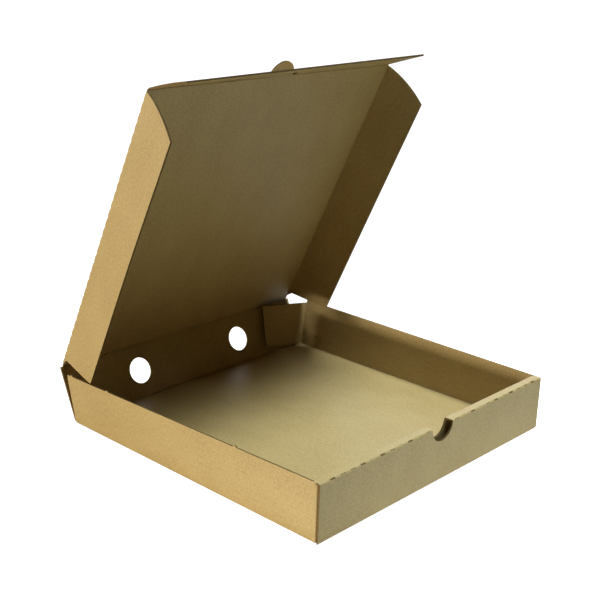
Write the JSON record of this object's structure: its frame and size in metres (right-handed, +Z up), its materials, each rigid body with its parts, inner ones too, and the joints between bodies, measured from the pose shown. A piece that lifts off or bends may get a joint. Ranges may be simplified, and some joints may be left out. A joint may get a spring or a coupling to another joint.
{
  "type": "pizza box",
  "caption": "Flat square pizza box folded from thin corrugated board, standing open, with a hinged lid, side and tuck flaps, a rolled front wall, thumb notch and steam vents.",
  "frame": {"origin": "centre of the tray's flat underside", "axes": "+X to the right along the front wall, -Y towards the front wall, +Z up"},
  "size_m": [0.316, 0.3204, 0.3261],
  "materials": {
    "kraft_board": "matt brown kraft corrugated board"
  },
  "bodies": {
    "tray": {"tray": "kraft_board"},
    "left_rear_corner_flap": {"left_rear_corner_flap": "kraft_board"},
    "right_rear_corner_flap": {"right_rear_corner_flap": "kraft_board"},
    "rear_wall": {"rear_wall": "kraft_board"},
    "lid_panel": {"lid_panel": "kraft_board"},
    "lid_left_flap": {"lid_left_flap": "kraft_board"},
    "lid_right_flap": {"lid_right_flap": "kraft_board"},
    "lid_front_flap": {"lid_front_flap": "kraft_board"}
  },
  "joints": [
    {"name": "rear_wall_fold", "type": "hinge", "parent": "tray", "child": "rear_wall", "pos_m": [0, 0.1484, 0.0016], "axis": [1, 0, 0], "range_deg": [-17, 17]},
    {"name": "lid_hinge", "type": "hinge", "parent": "rear_wall", "child": "lid_panel", "pos_m": [0, 0.16894, 0.04773], "axis": [1, 0, 0], "range_deg": [-49.5, 48.5]},
    {"name": "lid_left_flap_fold", "type": "hinge", "parent": "lid_panel", "child": "lid_left_flap", "pos_m": [-0.146, 0.16894, 0.04773], "axis": [0, -0.4305, 0.9026], "range_deg": [-10, 10]},
    {"name": "lid_right_flap_fold", "type": "hinge", "parent": "lid_panel", "child": "lid_right_flap", "pos_m": [0.146, 0.16894, 0.04773], "axis": [0, 0.4305, -0.9026], "range_deg": [-10, 10]},
    {"name": "lid_front_flap_fold", "type": "hinge", "parent": "lid_panel", "child": "lid_front_flap", "pos_m": [0, 0.0428, 0.31219], "axis": [1, 0, 0], "range_deg": [-51, 50]},
    {"name": "left_rear_corner_flap_fold", "type": "hinge", "parent": "tray", "child": "left_rear_corner_flap", "pos_m": [-0.1484, 0.1466, 0.0016], "axis": [0.165, 0, -0.9863], "range_deg": [-10, 10]},
    {"name": "right_rear_corner_flap_fold", "type": "hinge", "parent": "tray", "child": "right_rear_corner_flap", "pos_m": [0.1484, 0.1466, 0.0016], "axis": [0.165, 0, 0.9863], "range_deg": [-10, 10]}
  ],
  "couplings": [
    {"joint": "rear_wall_fold", "follows": "lid_hinge", "ratio": 0.3299},
    {"joint": "lid_left_flap_fold", "follows": "lid_hinge", "ratio": 0.18557},
    {"joint": "lid_right_flap_fold", "follows": "lid_hinge", "ratio": 0.18557},
    {"joint": "lid_front_flap_fold", "follows": "lid_hinge", "ratio": 1.02},
    {"joint": "left_rear_corner_flap_fold", "follows": "lid_hinge", "ratio": 0.15},
    {"joint": "right_rear_corner_flap_fold", "follows": "lid_hinge", "ratio": 0.15}
  ]
}
